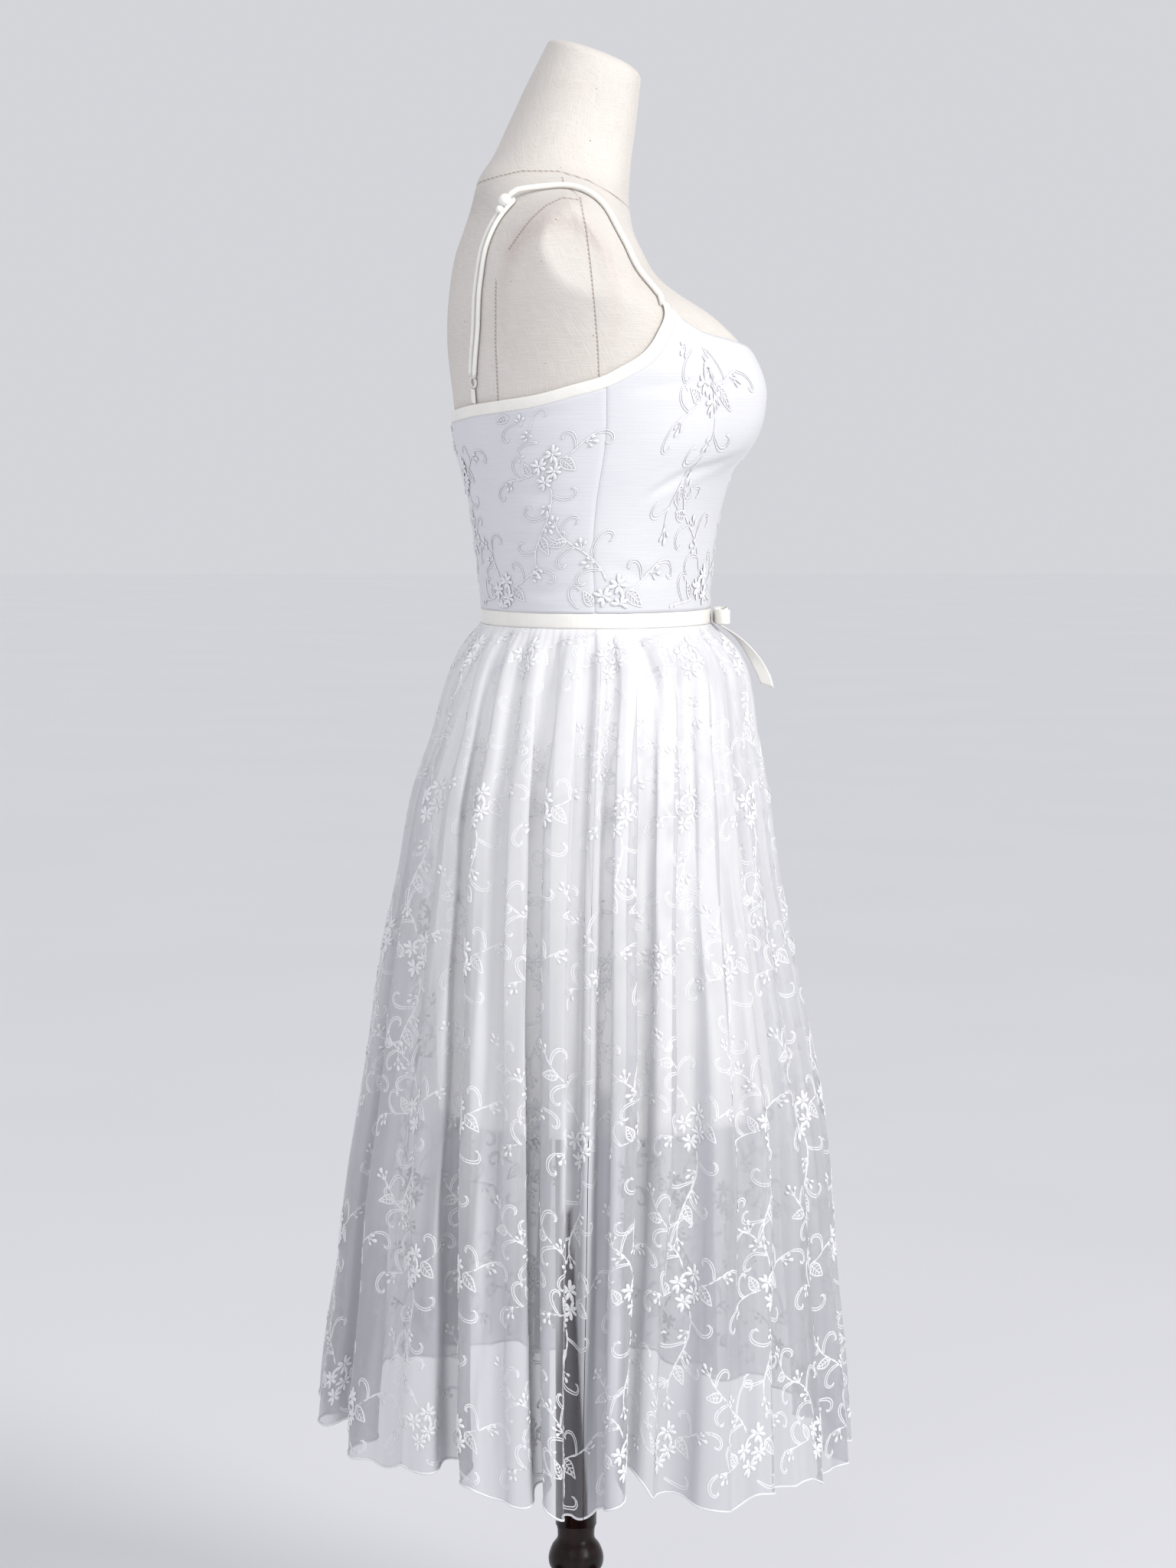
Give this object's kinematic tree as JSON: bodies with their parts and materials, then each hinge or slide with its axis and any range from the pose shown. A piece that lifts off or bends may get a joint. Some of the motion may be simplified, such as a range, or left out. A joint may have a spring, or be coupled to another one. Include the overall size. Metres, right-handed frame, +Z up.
{
  "type": "sleeveless dress on dress form",
  "caption": "Sleeveless embroidered organza midi dress with thin button straps, satin waist ribbon and gathered sheer skirt over a short lining, on a limbless dress form with a tripod stand.",
  "frame": {"origin": "on the floor on the pole's axis, under the middle of the skirt", "axes": "+Z up the pole, -Y to the front of the dress, -X to the wearer's right side"},
  "size_m": [0.5402, 0.4788, 1.5165],
  "materials": {
    "organza": "sheer white organza with white embroidery",
    "bodice_cloth": "white embroidered organza backed with white satin",
    "satin": "cream white satin",
    "lining": "white lining satin",
    "linen": "plain natural linen",
    "ring_enamel": "white enamelled wire",
    "dark_wood": "near black polished wood"
  },
  "bodies": {
    "root": {"form_body": "linen", "bodice_front": "bodice_cloth", "bodice_back": "bodice_cloth", "waistband": "satin", "bow_knot": "satin", "armhole_binding_right": "satin", "armhole_binding_left": "satin", "strap_front_right": "satin", "strap_front_left": "satin", "strap_loop_right": "satin", "strap_loop_left": "satin", "strap_button_right": "satin", "strap_button_left": "satin", "strap_knot_right": "satin", "strap_knot_left": "satin", "strap_tab_right": "satin", "strap_tab_left": "satin", "bow_loop_right": "satin", "bow_loop_left": "satin", "bow_tail_right": "satin", "bow_tail_left": "satin", "lining_front": "lining", "lining_back": "lining", "skirt_front": "organza", "skirt_back": "organza", "strap_ring_right": "ring_enamel", "strap_ring_left": "ring_enamel", "pole": "dark_wood", "turned_column": "dark_wood", "leg_1": "dark_wood", "leg_2": "dark_wood", "leg_3": "dark_wood", "foot_1": "dark_wood", "foot_2": "dark_wood", "foot_3": "dark_wood"}
  },
  "joints": []
}
